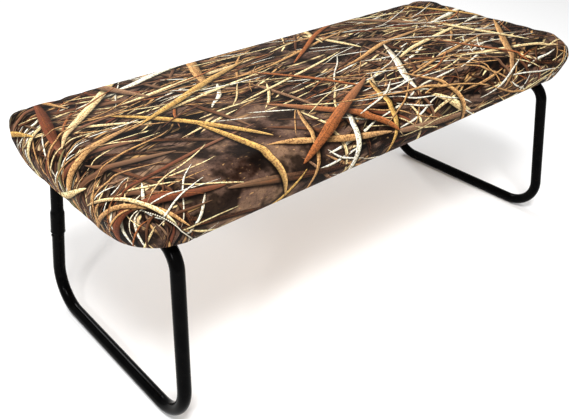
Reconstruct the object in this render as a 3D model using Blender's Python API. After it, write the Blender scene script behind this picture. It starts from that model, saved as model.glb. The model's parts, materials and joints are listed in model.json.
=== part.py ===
"""Padded folding bench: an upholstered seat on two tubular loop legs that fold flat under it.

Metres, +Z up. The origin is on the floor under the middle of the bench, +X runs along its length
and -Y is its front. Each leg turns about its own top bar, which two saddles hold to the seat board.
"""
import math

import bmesh
import bpy
from mathutils import Vector

# Clearance between neighbouring pieces
GAP = 0.0003

# How meshes are finished: points closer than this are one, and edges sharper than these stay sharp
WELD_DISTANCE = 1e-7
SOFT_EDGE_ANGLE = 50
TURNED_EDGE_ANGLE = 40
HOLE_MARGIN = 0.001

# Seat: outer size of the upholstery, its rounded top edge and the drawn-in sides
SEAT_LENGTH = 1.078
SEAT_DEPTH = 0.430
SEAT_TOP = 0.415
SEAT_BOTTOM = 0.331
SEAT_CORNER_RADIUS = 0.070
HEM_CORNER_RADIUS = 0.080
SEAT_EDGE_RADIUS = 0.0375
SIDE_INSET = 0.017
COVER_THICKNESS = 0.002
HEM_WIDTH = 0.020
SMALLEST_CORNER = 0.008
BOARD_THICKNESS = 0.012
CORNER_STEPS = 5
EDGE_STEPS = 5

# Leg loops: steel tube, bent in one plane that leans outwards towards the floor
TUBE_RADIUS = 0.011
TUBE_WALL = 0.0015
FOOT_SPACING = 0.983
LOOP_WIDTH = 0.432
PIVOT_HEIGHT = 0.316
SPLAY = math.radians(5.5)
TAPER = math.radians(5.8)
FOOT_BEND_RADIUS = 0.065
TOP_BEND_RADIUS = 0.039
BEND_STEPS = 6
TUBE_SIDES = 16

# Swaged joint on the rear upright
SLEEVE_LIP_HEIGHT = 0.157
SLEEVE_RADIUS = 0.0127
SLEEVE_FLARE = 0.0004
SLEEVE_FLARE_START = 0.003
SLEEVE_FLARE_END = 0.001
SLEEVE_TAPER = 0.008
SLEEVE_DEPTH = 0.040
SLEEVE_BORE = 0.01135
RIVET_DROP = 0.0055
RIVET_HEAD_RADIUS = 0.0030
RIVET_HEAD_HEIGHT = 0.0012
RIVET_SHANK_RADIUS = 0.0016
RIVET_LENGTH = 0.0045
# The rivet's dome, as shares of its head's radius and height
RIVET_DOME = ((1.0, 0.0), (0.85, 0.6), (0.45, 1.0))

# Saddles and their liners, on the loop's top bar
SADDLE_OFFSET = 0.105
SADDLE_WIDTH = 0.030
SADDLE_THICKNESS = 0.0025
SADDLE_EAR = 0.019
SADDLE_BORE = 0.01375
LINER_BORE = 0.01145
LINER_WALL = 0.0017
LINER_FLANGE_RADIUS = 0.0155
LINER_FLANGE = 0.0025
LINER_SLIT = math.radians(24.0)
ROUND_STEPS = 10

# Stops that hold a leg at its splay
PLATE_LENGTH = 0.084
PLATE_WIDTH = 0.030
PLATE_THICKNESS = 0.003
PLATE_SHIFT = 0.023
PLATE_SCREW_OFFSET = 0.033
TAB_LENGTH = 0.044
TAB_REACH = 0.034
TAB_THICKNESS = 0.004
TAB_DROP = 0.018
METAL_BEVEL = 0.0006

# Machine screws and the T-nuts they turn into
SCREW_RADIUS = 0.0025
SCREW_HEAD_RADIUS = 0.0048
SCREW_HEAD_HEIGHT = 0.0028
SCREW_LENGTH = 0.011
SCREW_TIP_RADIUS = 0.00175
SCREW_TIP_LENGTH = 0.0008
SCREW_HOLE_RADIUS = 0.0030
SCREW_SIDES = 10
# The pan head's curve, as shares of its radius and of its height from the crown
HEAD_CURVE = ((0.62, 0.0), (0.92, 0.35), (1.0, 0.75))
NUT_BORE = 0.0029
NUT_BARREL_RADIUS = 0.0040
NUT_BARREL_LENGTH = 0.009
NUT_FLANGE_RADIUS = 0.0085
NUT_FLANGE = 0.0012

# Heights and places that follow from the sizes above
SHOULDER = SEAT_TOP - SEAT_EDGE_RADIUS
BOARD_BOTTOM = SEAT_BOTTOM + COVER_THICKNESS + GAP
BOARD_TOP = BOARD_BOTTOM + BOARD_THICKNESS
FITTING_TOP = BOARD_BOTTOM - GAP
PLATE_BOTTOM = FITTING_TOP - PLATE_THICKNESS
PIVOT_X = FOOT_SPACING / 2 - (PIVOT_HEIGHT - TUBE_RADIUS) * math.tan(SPLAY)
SADDLE_SCREW_OFFSET = SADDLE_BORE + SADDLE_THICKNESS + SADDLE_EAR / 2

SIDES = {"left": -1, "right": 1}
ENDS = {"front": -1, "rear": 1}


def make_material(name, colour, roughness, metallic):
    """A Principled material of one colour."""
    material = bpy.data.materials.new(name)
    material.use_nodes = True
    shader = material.node_tree.nodes["Principled BSDF"]
    shader.inputs["Base Color"].default_value = (*colour, 1.0)
    shader.inputs["Roughness"].default_value = roughness
    shader.inputs["Metallic"].default_value = metallic
    material.diffuse_color = (*colour, 1.0)
    return material


def printed_fabric():
    """The woven cover."""
    return make_material("printed_fabric", (0.26, 0.19, 0.12), 0.85, 0.0)


def foam():
    """The seat pad."""
    return make_material("foam", (0.85, 0.80, 0.62), 0.95, 0.0)


def plywood():
    """The seat board."""
    return make_material("plywood", (0.60, 0.43, 0.25), 0.70, 0.0)


def black_powder_coat():
    """The finish of the leg tubes and tabs."""
    return make_material("black_powder_coat", (0.010, 0.010, 0.010), 0.28, 0.3)


def black_plate():
    """The finish of the saddles and stop plates."""
    return make_material("black_plate", (0.020, 0.020, 0.020), 0.45, 0.3)


def nylon():
    """The liners."""
    return make_material("nylon", (0.055, 0.055, 0.060), 0.55, 0.0)


def zinc():
    """The fasteners."""
    return make_material("zinc", (0.62, 0.62, 0.60), 0.35, 0.9)


def new_object(name, bm, material, smooth_angle=None):
    """Turn a bmesh into a named object, with its faces pointing out."""
    bmesh.ops.remove_doubles(bm, verts=bm.verts, dist=WELD_DISTANCE)
    bmesh.ops.recalc_face_normals(bm, faces=bm.faces)
    mesh = bpy.data.meshes.new(name)
    bm.to_mesh(mesh)
    bm.free()
    if smooth_angle is not None:
        mesh.shade_smooth()
        mesh.set_sharp_from_angle(angle=math.radians(smooth_angle))
    item = bpy.data.objects.new(name, mesh)
    bpy.context.scene.collection.objects.link(item)
    if material is not None:
        mesh.materials.append(material)
    return item


def skin_rings(bm, rings, closed=False):
    """Join equal rings of points with quads, and cap both ends unless the row of rings closes."""
    rows = [[bm.verts.new(point) for point in ring] for ring in rings]
    count = len(rows[0])
    pairs = list(zip(rows[:-1], rows[1:]))
    if closed:
        pairs.append((rows[-1], rows[0]))
    for lower, upper in pairs:
        for index in range(count):
            following = (index + 1) % count
            bm.faces.new((lower[index], lower[following], upper[following], upper[index]))
    if not closed:
        bm.faces.new(rows[0])
        bm.faces.new(rows[-1])


def lofted(name, rings, material, closed=False, smooth_angle=None):
    """An object made from one row of rings."""
    bm = bmesh.new()
    skin_rings(bm, rings, closed)
    return new_object(name, bm, material, smooth_angle)


def box_rings(low, high):
    """Two rectangles, the bottom and top of a box."""
    corners = ((low.x, low.y), (high.x, low.y), (high.x, high.y), (low.x, high.y))
    return [[Vector((x, y, z)) for x, y in corners] for z in (low.z, high.z)]


def circle(centre, radius, sides):
    """A level ring whose flats just touch the true circle."""
    reach = radius / math.cos(math.pi / sides)
    angles = [2 * math.pi * (step + 0.5) / sides for step in range(sides)]
    return [centre + Vector((reach * math.cos(a), reach * math.sin(a), 0)) for a in angles]


def turned_rings(centre, profile, sides=SCREW_SIDES):
    """Level rings of a turned piece from its (radius, height) profile."""
    return [circle(centre + Vector((0, 0, height)), radius, sides) for radius, height in profile]


def cut_with(item, cutter):
    """Cut one object with another, which the build leaves out."""
    cutter.hide_render = True
    cutter.display_type = "WIRE"
    boolean = item.modifiers.new("cut", "BOOLEAN")
    boolean.operation = "DIFFERENCE"
    boolean.solver = "EXACT"
    boolean.object = cutter


def soften(item, width):
    """Ease the sharp edges of a pressed metal piece."""
    bevel = item.modifiers.new("eased_edges", "BEVEL")
    bevel.width = width
    bevel.segments = 1
    bevel.limit_method = "ANGLE"
    bevel.angle_limit = math.radians(SOFT_EDGE_ANGLE)


# Seat

def seat_ring(inset, height):
    """The seat's rounded outline, drawn in by an inset, at a height. Its corners widen to the hem."""
    drop = max(SHOULDER - height, 0.0) / (SHOULDER - SEAT_BOTTOM)
    widened = (HEM_CORNER_RADIUS + SIDE_INSET - SEAT_CORNER_RADIUS) * drop
    radius = max(SEAT_CORNER_RADIUS + widened - inset, SMALLEST_CORNER)
    half_x = SEAT_LENGTH / 2 - inset - radius
    half_y = SEAT_DEPTH / 2 - inset - radius
    points = []
    for quarter, (sign_x, sign_y) in enumerate(((1, 1), (-1, 1), (-1, -1), (1, -1))):
        for step in range(CORNER_STEPS + 1):
            angle = math.pi / 2 * (quarter + step / CORNER_STEPS)
            x = sign_x * half_x + radius * math.cos(angle)
            y = sign_y * half_y + radius * math.sin(angle)
            points.append(Vector((x, y, height)))
    return points


def side_inset(height):
    """How far the sloping side has drawn in below the shoulder."""
    return SIDE_INSET * (SHOULDER - height) / (SHOULDER - SEAT_BOTTOM)


def top_edge_rings(offset):
    """Rings round the seat's top edge from the shoulder up, offset inwards from the outside."""
    radius = SEAT_EDGE_RADIUS - offset
    rings = []
    for step in range(EDGE_STEPS + 1):
        angle = math.pi / 2 * step / EDGE_STEPS
        inset = SEAT_EDGE_RADIUS - radius * math.cos(angle)
        rings.append(seat_ring(inset, SHOULDER + radius * math.sin(angle)))
    return rings


def make_seat_cover():
    """The fabric: over the top and sides, then turned under the board, open beneath."""
    inside = list(reversed(top_edge_rings(COVER_THICKNESS)))
    inner_floor = SEAT_BOTTOM + COVER_THICKNESS
    inside.append(seat_ring(side_inset(inner_floor) + COVER_THICKNESS, inner_floor))
    rim = [
        seat_ring(SIDE_INSET + HEM_WIDTH, inner_floor),
        seat_ring(SIDE_INSET + HEM_WIDTH, SEAT_BOTTOM),
        seat_ring(SIDE_INSET + COVER_THICKNESS, SEAT_BOTTOM),
        seat_ring(side_inset(inner_floor), inner_floor),
    ]
    rings = inside + rim + top_edge_rings(0.0)
    lofted("seat_cover", rings, printed_fabric(), smooth_angle=SOFT_EDGE_ANGLE)


def make_foam_pad():
    """The foam, which fills the cover above the board."""
    clearance = COVER_THICKNESS + GAP
    floor = BOARD_TOP + GAP
    base = seat_ring(side_inset(floor) + clearance, floor)
    lofted("foam_pad", [base] + top_edge_rings(clearance), foam(), smooth_angle=SOFT_EDGE_ANGLE)


def fitting_screw_places():
    """Where the fittings' screws enter the board, by fitting."""
    places = {}
    for side, sign in SIDES.items():
        for end, end_sign in ENDS.items():
            reaches = (-SADDLE_SCREW_OFFSET, SADDLE_SCREW_OFFSET)
            y = end_sign * SADDLE_OFFSET
            places[f"{side}_{end}_saddle"] = [(sign * PIVOT_X + reach, y) for reach in reaches]
        x = sign * (PIVOT_X + PLATE_SHIFT)
        offsets = (-PLATE_SCREW_OFFSET, PLATE_SCREW_OFFSET)
        places[f"{side}_stop_plate"] = [(x, y) for y in offsets]
    return places


def board_hole_rings(x, y):
    """A hole through the board, wider at its top for the T-nut's flange."""
    shallow = BOARD_TOP - NUT_FLANGE - 2 * GAP
    profile = (
        (SCREW_HOLE_RADIUS, BOARD_BOTTOM - HOLE_MARGIN),
        (SCREW_HOLE_RADIUS, BOARD_TOP - NUT_BARREL_LENGTH - 3 * GAP),
        (NUT_BARREL_RADIUS + GAP, BOARD_TOP - NUT_BARREL_LENGTH - 3 * GAP),
        (NUT_BARREL_RADIUS + GAP, shallow),
        (NUT_FLANGE_RADIUS + GAP, shallow),
        (NUT_FLANGE_RADIUS + GAP, BOARD_TOP + HOLE_MARGIN),
    )
    return turned_rings(Vector((x, y, 0)), profile)


def make_seat_board():
    """The plywood board, with a stepped hole for every fitting screw."""
    inset = SIDE_INSET + COVER_THICKNESS + GAP
    rings = [seat_ring(inset, BOARD_BOTTOM), seat_ring(inset, BOARD_TOP)]
    board = lofted("seat_board", rings, plywood())
    holes = bmesh.new()
    for places in fitting_screw_places().values():
        for x, y in places:
            skin_rings(holes, board_hole_rings(x, y))
    cut_with(board, new_object("board_hole_cutter", holes, None))


def make_tnut(name, x, y):
    """A T-nut let into the top of the board."""
    profile = (
        (NUT_BORE, -NUT_BARREL_LENGTH),
        (NUT_BARREL_RADIUS, -NUT_BARREL_LENGTH),
        (NUT_BARREL_RADIUS, -NUT_FLANGE),
        (NUT_FLANGE_RADIUS, -NUT_FLANGE),
        (NUT_FLANGE_RADIUS, 0.0),
        (NUT_BORE, 0.0),
    )
    rings = turned_rings(Vector((x, y, BOARD_TOP - GAP)), profile)
    lofted(name, rings, zinc(), closed=True, smooth_angle=TURNED_EDGE_ANGLE)


# Fittings under the board

def screw_profile(head_top):
    """A pan-head screw pointing up, from the edge of its head to its tip."""
    head_bottom = head_top - SCREW_HEAD_HEIGHT
    head = [(SCREW_HEAD_RADIUS * wide, head_bottom + SCREW_HEAD_HEIGHT * up) for wide, up in HEAD_CURVE]
    return head + [
        (SCREW_HEAD_RADIUS, head_top),
        (SCREW_RADIUS, head_top),
        (SCREW_RADIUS, head_top + SCREW_LENGTH - SCREW_TIP_LENGTH),
        (SCREW_TIP_RADIUS, head_top + SCREW_LENGTH),
    ]


def make_fasteners(fitting, places, fitting_bottom):
    """A screw from below and its T-nut from above, at each of a fitting's holes."""
    profile = screw_profile(fitting_bottom - GAP)
    for number, (x, y) in enumerate(places, start=1):
        rings = turned_rings(Vector((x, y, 0)), profile)
        lofted(f"{fitting}_screw_{number}", rings, zinc(), smooth_angle=TURNED_EDGE_ANGLE)
        make_tnut(f"{fitting}_tnut_{number}", x, y)


def hole_cutter(name, places):
    """Plain holes for a fitting's screws."""
    bm = bmesh.new()
    profile = ((SCREW_HOLE_RADIUS, PIVOT_HEIGHT), (SCREW_HOLE_RADIUS, BOARD_TOP))
    for x, y in places:
        skin_rings(bm, turned_rings(Vector((x, y, 0)), profile))
    return new_object(name, bm, None)


def saddle_outline():
    """The saddle's edge-on outline about the bar: two flat ears and a U under the bar."""
    ear_end = SADDLE_BORE + SADDLE_THICKNESS + SADDLE_EAR
    ear_top = FITTING_TOP - PIVOT_HEIGHT
    ear_bottom = ear_top - SADDLE_THICKNESS
    outer = SADDLE_BORE + SADDLE_THICKNESS
    angles = [math.pi * step / ROUND_STEPS for step in range(ROUND_STEPS + 1)]
    inner_arc = [(-SADDLE_BORE * math.cos(a), -SADDLE_BORE * math.sin(a)) for a in angles]
    outer_arc = [(outer * math.cos(a), -outer * math.sin(a)) for a in angles]
    left = [(-ear_end, ear_bottom), (-ear_end, ear_top), (-SADDLE_BORE, ear_top)]
    right = [(SADDLE_BORE, ear_top), (ear_end, ear_top), (ear_end, ear_bottom), (outer, ear_bottom)]
    return left + inner_arc + right + outer_arc + [(-outer, ear_bottom)]


def make_saddle(name, x, y, places):
    """A pressed steel saddle that holds the leg's top bar."""
    outline = saddle_outline()
    rings = []
    for edge in (-SADDLE_WIDTH / 2, SADDLE_WIDTH / 2):
        rings.append([Vector((x + reach, y + edge, PIVOT_HEIGHT + rise)) for reach, rise in outline])
    saddle = lofted(name, rings, black_plate(), smooth_angle=TURNED_EDGE_ANGLE)
    cut_with(saddle, hole_cutter(f"{name}_cutter", places))


def liner_outline(outer):
    """The liner's split ring, open at the top."""
    start = math.pi / 2 + LINER_SLIT / 2
    sweep = 2 * math.pi - LINER_SLIT
    angles = [start + sweep * step / (2 * ROUND_STEPS) for step in range(2 * ROUND_STEPS + 1)]
    inside = [(LINER_BORE * math.cos(a), LINER_BORE * math.sin(a)) for a in angles]
    outside = [(outer * math.cos(a), outer * math.sin(a)) for a in reversed(angles)]
    return inside + outside


def make_liner(name, x, y):
    """A split plastic liner with a flange at each end, between the bar and its saddle."""
    wall = LINER_BORE + LINER_WALL
    half = SADDLE_WIDTH / 2 + GAP
    stations = (
        (-half - LINER_FLANGE, LINER_FLANGE_RADIUS),
        (-half, LINER_FLANGE_RADIUS),
        (-half, wall),
        (half, wall),
        (half, LINER_FLANGE_RADIUS),
        (half + LINER_FLANGE, LINER_FLANGE_RADIUS),
    )
    rings = []
    for along, outer in stations:
        outline = liner_outline(outer)
        rings.append([Vector((x + reach, y + along, PIVOT_HEIGHT + rise)) for reach, rise in outline])
    lofted(name, rings, nylon(), smooth_angle=TURNED_EDGE_ANGLE)


def make_stop_plate(name, x, places):
    """A flat wear plate on the board for the leg's stop tab."""
    half = Vector((PLATE_WIDTH / 2, PLATE_LENGTH / 2, 0))
    low = Vector((x, 0, PLATE_BOTTOM)) - half
    high = Vector((x, 0, FITTING_TOP)) + half
    plate = lofted(name, box_rings(low, high), black_plate())
    soften(plate, METAL_BEVEL)
    cut_with(plate, hole_cutter(f"{name}_cutter", places))


def make_fittings():
    """Saddles, liners, stop plates and their fasteners for both legs."""
    places = fitting_screw_places()
    for side, sign in SIDES.items():
        for end, end_sign in ENDS.items():
            name = f"{side}_{end}_saddle"
            y = end_sign * SADDLE_OFFSET
            make_saddle(name, sign * PIVOT_X, y, places[name])
            make_liner(f"{side}_{end}_liner", sign * PIVOT_X, y)
            make_fasteners(name, places[name], FITTING_TOP - SADDLE_THICKNESS)
        name = f"{side}_stop_plate"
        make_stop_plate(name, sign * (PIVOT_X + PLATE_SHIFT), places[name])
        make_fasteners(name, places[name], PLATE_BOTTOM)


# Legs

def loop_height():
    """The loop's height in its own leaning plane, between the bars' centre lines."""
    return (PIVOT_HEIGHT - TUBE_RADIUS) / math.cos(SPLAY)


def upright_point(rise, sign=1):
    """A point on an upright's centre line, as (across, up) in the loop's plane."""
    return Vector((sign * (LOOP_WIDTH / 2 - rise * math.tan(TAPER)), rise))


def lip_rise():
    """Where the sleeve's lip is on the rear upright, in the loop's plane."""
    return (SLEEVE_LIP_HEIGHT - TUBE_RADIUS) / math.cos(SPLAY)


def bend(before, corner, after, radius):
    """Points and directions round one bend of the centre line."""
    into = (corner - before).normalized()
    out = (after - corner).normalized()
    turn = into.angle_signed(out)
    trim = radius * math.tan(abs(turn) / 2)
    start = corner - into * trim
    side = Vector((-into.y, into.x)) * (-1 if turn > 0 else 1)
    centre = start + side * radius
    points = []
    for step in range(BEND_STEPS + 1):
        angle = -turn * step / BEND_STEPS
        cosine = math.cos(angle)
        sine = math.sin(angle)
        arm = start - centre
        spun = Vector((arm.x * cosine - arm.y * sine, arm.x * sine + arm.y * cosine))
        heading = Vector((into.x * cosine - into.y * sine, into.x * sine + into.y * cosine))
        points.append((centre + spun, heading))
    return points


def centre_line():
    """The tube's centre line from just below the sleeve's lip, round the loop, to above the sleeve."""
    foot = [upright_point(0, 1), upright_point(0, -1)]
    top = [upright_point(loop_height(), -1), upright_point(loop_height(), 1)]
    start = upright_point(lip_rise() - 2 * RIVET_DROP)
    finish = upright_point(lip_rise() + SLEEVE_DEPTH + SLEEVE_TAPER)
    path = bend(start, foot[0], foot[1], FOOT_BEND_RADIUS)
    path += bend(foot[0], foot[1], top[0], FOOT_BEND_RADIUS)
    path += bend(foot[1], top[0], top[1], TOP_BEND_RADIUS)
    path += bend(top[0], top[1], finish, TOP_BEND_RADIUS)
    return path


def loop_to_world(sign, across, rise):
    """A point of the loop's plane, in the object's frame."""
    lean = FOOT_SPACING / 2 - rise * math.sin(SPLAY)
    return Vector((sign * lean, across, TUBE_RADIUS + rise * math.cos(SPLAY)))


def tube_ring(sign, point, heading, radius):
    """One ring of the tube. Its flats are turned so that one lies level under the foot bar."""
    across = Vector((0, 1, 0))
    up = Vector((-sign * math.sin(SPLAY), 0, math.cos(SPLAY)))
    plane_normal = across.cross(up)
    outward = across * -heading.y + up * heading.x
    centre = loop_to_world(sign, point.x, point.y)
    reach = radius / math.cos(math.pi / TUBE_SIDES)
    ring = []
    for step in range(TUBE_SIDES):
        angle = -sign * SPLAY + 2 * math.pi * (step + 0.5) / TUBE_SIDES
        arm = outward * math.cos(angle) + plane_normal * math.sin(angle)
        ring.append(centre + arm * reach)
    return ring


def make_leg_loop(side, sign):
    """One bent tube: its plain end goes up into its own swaged end on the rear upright."""
    lip = lip_rise()
    down = (upright_point(0) - upright_point(lip)).normalized()
    bore_end = lip + SLEEVE_DEPTH + GAP
    outside = [(upright_point(lip + SLEEVE_DEPTH), down, TUBE_RADIUS)]
    outside += [(point, heading, TUBE_RADIUS) for point, heading in centre_line()]
    outside += [
        (upright_point(lip + SLEEVE_DEPTH + SLEEVE_TAPER), down, TUBE_RADIUS),
        (upright_point(lip + SLEEVE_DEPTH), down, SLEEVE_RADIUS),
        (upright_point(lip + SLEEVE_FLARE_START), down, SLEEVE_RADIUS),
        (upright_point(lip + SLEEVE_FLARE_END), down, SLEEVE_RADIUS + SLEEVE_FLARE),
        (upright_point(lip), down, SLEEVE_RADIUS),
        (upright_point(lip), down, SLEEVE_BORE),
    ]
    bore = TUBE_RADIUS - TUBE_WALL
    inside = [(upright_point(lip + SLEEVE_DEPTH), down, bore)]
    inside += [(point, heading, bore) for point, heading in centre_line()]
    inside += [(upright_point(bore_end), down, bore), (upright_point(bore_end), down, SLEEVE_BORE)]
    stations = outside + list(reversed(inside))
    rings = [tube_ring(sign, *station) for station in stations]
    loop = lofted(f"{side}_leg_loop", rings, black_powder_coat(), closed=True, smooth_angle=TURNED_EDGE_ANGLE)
    cut_with(loop, rivet_hole_cutter(side, sign))


def rivet_rings(sign, profile):
    """Rings of a piece turned about the rivet's axis, which crosses the rear upright."""
    place = upright_point(lip_rise() - RIVET_DROP)
    outward = Vector((sign * math.cos(SPLAY), 0, math.sin(SPLAY)))
    upward = Vector((-sign * math.sin(SPLAY), 0, math.cos(SPLAY)))
    across = Vector((0, 1, 0))
    centre = loop_to_world(sign, place.x, place.y)
    rings = []
    for radius, reach in profile:
        ring = []
        for step in range(SCREW_SIDES):
            angle = 2 * math.pi * step / SCREW_SIDES
            arm = across * math.cos(angle) + upward * math.sin(angle)
            ring.append(centre + outward * reach + arm * radius)
        rings.append(ring)
    return rings


def rivet_hole_cutter(side, sign):
    """A hole through the outer wall of the spigot for its rivet."""
    radius = RIVET_SHANK_RADIUS + GAP
    profile = ((radius, TUBE_RADIUS - 3 * TUBE_WALL), (radius, TUBE_RADIUS + TUBE_WALL))
    return lofted(f"{side}_rivet_cutter", rivet_rings(sign, profile), None)


def make_joint_rivet(side, sign):
    """The domed rivet just under the sleeve's lip."""
    seat = TUBE_RADIUS / math.cos(math.pi / TUBE_SIDES) + GAP
    profile = [(RIVET_SHANK_RADIUS, seat - RIVET_LENGTH), (RIVET_SHANK_RADIUS, seat)]
    profile += [(RIVET_HEAD_RADIUS * wide, seat + RIVET_HEAD_HEIGHT * high) for wide, high in RIVET_DOME]
    lofted(f"{side}_joint_rivet", rivet_rings(sign, profile), zinc(), smooth_angle=SOFT_EDGE_ANGLE)


def make_stop_tab(side, sign):
    """An angle welded along the top bar, which meets the stop plate when the leg is open."""
    near = TUBE_RADIUS / math.cos(math.pi / TUBE_SIDES) + GAP
    top = PLATE_BOTTOM - GAP
    outline = (
        (near, top),
        (TAB_REACH, top),
        (TAB_REACH, top - TAB_THICKNESS),
        (near + TAB_THICKNESS, top - TAB_THICKNESS),
        (near + TAB_THICKNESS, top - TAB_DROP),
        (near, top - TAB_DROP),
    )
    rings = []
    for y in (-TAB_LENGTH / 2, TAB_LENGTH / 2):
        rings.append([Vector((sign * (PIVOT_X + reach), y, height)) for reach, height in outline])
    tab = lofted(f"{side}_stop_tab", rings, black_powder_coat())
    soften(tab, METAL_BEVEL)


def make_legs():
    """Both legs' loops, rivets and stop tabs."""
    for side, sign in SIDES.items():
        make_leg_loop(side, sign)
        make_joint_rivet(side, sign)
        make_stop_tab(side, sign)


def set_leg_origins():
    """Put each leg piece's origin on the axis that it turns about."""
    for side, sign in SIDES.items():
        pivot = Vector((sign * PIVOT_X, 0, PIVOT_HEIGHT))
        for piece in ("leg_loop", "joint_rivet", "stop_tab", "rivet_cutter"):
            item = bpy.data.objects[f"{side}_{piece}"]
            for vertex in item.data.vertices:
                vertex.co -= pivot
            item.location = pivot


def main():
    for item in list(bpy.data.objects):
        bpy.data.objects.remove(item, do_unlink=True)
    make_seat_board()
    make_foam_pad()
    make_seat_cover()
    make_fittings()
    make_legs()
    set_leg_origins()


main()
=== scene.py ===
import json
import math
import random

import bmesh
import bpy
import numpy as np
from mathutils import Matrix, Vector
from mathutils.bvhtree import BVHTree
from mathutils.interpolate import poly_3d_calc


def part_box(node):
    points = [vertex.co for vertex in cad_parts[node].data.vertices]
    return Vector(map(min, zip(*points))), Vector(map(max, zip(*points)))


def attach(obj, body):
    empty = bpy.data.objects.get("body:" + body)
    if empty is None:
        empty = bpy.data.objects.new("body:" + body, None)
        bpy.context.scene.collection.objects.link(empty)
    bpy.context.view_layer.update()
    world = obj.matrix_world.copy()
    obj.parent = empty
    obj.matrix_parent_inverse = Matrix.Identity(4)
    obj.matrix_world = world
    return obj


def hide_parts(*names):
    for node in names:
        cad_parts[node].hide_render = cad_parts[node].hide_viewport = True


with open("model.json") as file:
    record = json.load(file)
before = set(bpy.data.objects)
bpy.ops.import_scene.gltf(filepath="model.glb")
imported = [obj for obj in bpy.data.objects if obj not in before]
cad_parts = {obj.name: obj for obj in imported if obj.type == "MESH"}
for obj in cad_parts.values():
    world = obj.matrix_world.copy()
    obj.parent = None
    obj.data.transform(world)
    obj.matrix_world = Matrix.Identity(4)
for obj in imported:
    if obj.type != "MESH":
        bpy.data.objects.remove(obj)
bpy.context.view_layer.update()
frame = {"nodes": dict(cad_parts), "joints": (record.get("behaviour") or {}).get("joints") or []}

# The seat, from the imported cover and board
cover_low, cover_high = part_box("seat_cover")
_, board_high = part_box("seat_board")
HALF_LENGTH = cover_high.x
HALF_DEPTH = cover_high.y
SEAT_TOP = cover_high.z
SEAT_BOTTOM = cover_low.z
CORNER_RADIUS = 0.070
HEM_CORNER_RADIUS = 0.080
EDGE_RADIUS = 0.0375
SIDE_INSET = 0.017
HEM_WIDTH = 0.020
SHOULDER = SEAT_TOP - EDGE_RADIUS
SIDE_BULGE = 0.0025
CORNER_STEPS = 14
EDGE_STEPS = 9
SIDE_STEPS = 5
FLAT_RIM = 0.003
SIDE_SLOPE = 1.05
CROWN_HEIGHT = 0.0022
CLOTH_THICKNESS = 0.0012
FOAM_CLEARANCE = 0.0035
BOARD_CLEARANCE = 0.0008
FLAP_START = 0.018
FLAP_END = 0.060

# Cloth simulation of the cushion
SHRINK = 0.0045
VOXEL = 0.0065
SWELL_CAP = 0.006
SLIDE_CAP = 0.0015
SIMULATION_FRAMES = 20
PRESSURE = 4.0
HELD_HEIGHT = 0.006

# The dart sewn at each corner, as two points of the unrolled cover, seen from the seat's middle
DART_START = (0.5105, 0.1965)
DART_END = (0.4440, 0.2815)
DART_RUN = np.array(DART_END) - np.array(DART_START)
DART_LENGTH = np.linalg.norm(DART_RUN)
DART_ALONG = DART_RUN / DART_LENGTH
DART_GROOVE = 0.0016
DART_GROOVE_WIDTH = 0.0022
# How wide the painted shade along each dart is.
DART_SHADE_WIDTH = 0.0034
TUCK_HEIGHT = 0.0009
TUCK_PLACE = 0.008
TUCK_WIDTH = 0.006
HEM_WAVE = 0.00045
STITCH_PITCH = 0.0034
STITCH_LENGTH = 0.0022
STITCH_RADIUS = 0.00075
STAPLE_CROWN = 0.0105
STAPLE_WIRE = 0.00055
STAPLE_SPACING = 0.027
STAPLE_SKEW = 0.16

# The one corner, rear left, that is pulled to a tighter point: where, how far round, and which way
CORNER_PULLS = (
    ((-0.520, 0.192, 0.390), (0.030, 0.036, 0.026), (-0.0010, 0.0045, 0.0120)),
    ((-0.500, 0.185, 0.405), (0.060, 0.050, 0.030), (0.0, 0.0, -0.0025)),
    ((-0.524, 0.198, 0.368), (0.060, 0.050, 0.022), (0.0060, -0.0060, 0.0)),
)

# Leg loops
TUBE_RADIUS = 0.011
FOOT_SPACING = 0.983
LOOP_WIDTH = 0.432
SPLAY = math.radians(5.5)
TAPER = math.radians(5.8)
FOOT_BEND_RADIUS = 0.065
TOP_BEND_RADIUS = 0.039
SLEEVE_LIP_HEIGHT = 0.157
SLEEVE_RADIUS = 0.0127
SLEEVE_TAPER = 0.010
SLEEVE_DEPTH = 0.040
SPIGOT_DEPTH = 0.006
PIVOT_HEIGHT = frame["joints"][0]["pos_m"][2]
TUBE_SIDES = 48
BEND_STEPS = 28
SIDES = {"left": -1, "right": 1}

# Rivets, welds and screws
TURNED_SIDES = 28
RIVET_HEAD_RADIUS = 0.0030
RIVET_HEAD_HEIGHT = 0.0012
RIVET_SHANK = 0.0015
WELD_SIZE = 0.0019
WELD_LENGTH = 0.015
WELD_INSET = 0.002
WELD_DROP = 0.0040
WELD_RIPPLES = 7.5
WELD_STEPS = 44
HEAD_FIT = 0.95
HEAD_HEIGHT = 0.0028
HEAD_SLOPE = 0.72
SCREW_CORE = 0.00245
THREAD_ROOT = 0.86
THREAD_PITCH = 0.0008
RECESS_DEPTH = 0.0013

# Studio: each light's name, place, target, size and power
WORLD_STRENGTH = 0.60
LIGHTS = (
    ("key", (-1.0, -1.2, 2.6), (0.0, 0.0, 0.3), 0.7, 68.0),
    ("fill", (-2.0, -1.0, 1.4), (-0.2, 0.0, 0.2), 0.28, 14.0),
    ("rim", (0.8, 2.2, 2.2), (0.0, 0.0, 0.3), 0.8, 36.0),
)
FLOOR_SIZE = 12.0
CAMERA_PLACE = (-0.8549, -0.8497, 0.8583)
CAMERA_YAW = math.radians(41.55)
CAMERA_PITCH = math.radians(32.09)
CAMERA_ROLL = math.radians(-0.53)
CAMERA_LENS = 43.2
CAMERA_SENSOR = 36.0


# Node graphs

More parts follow.
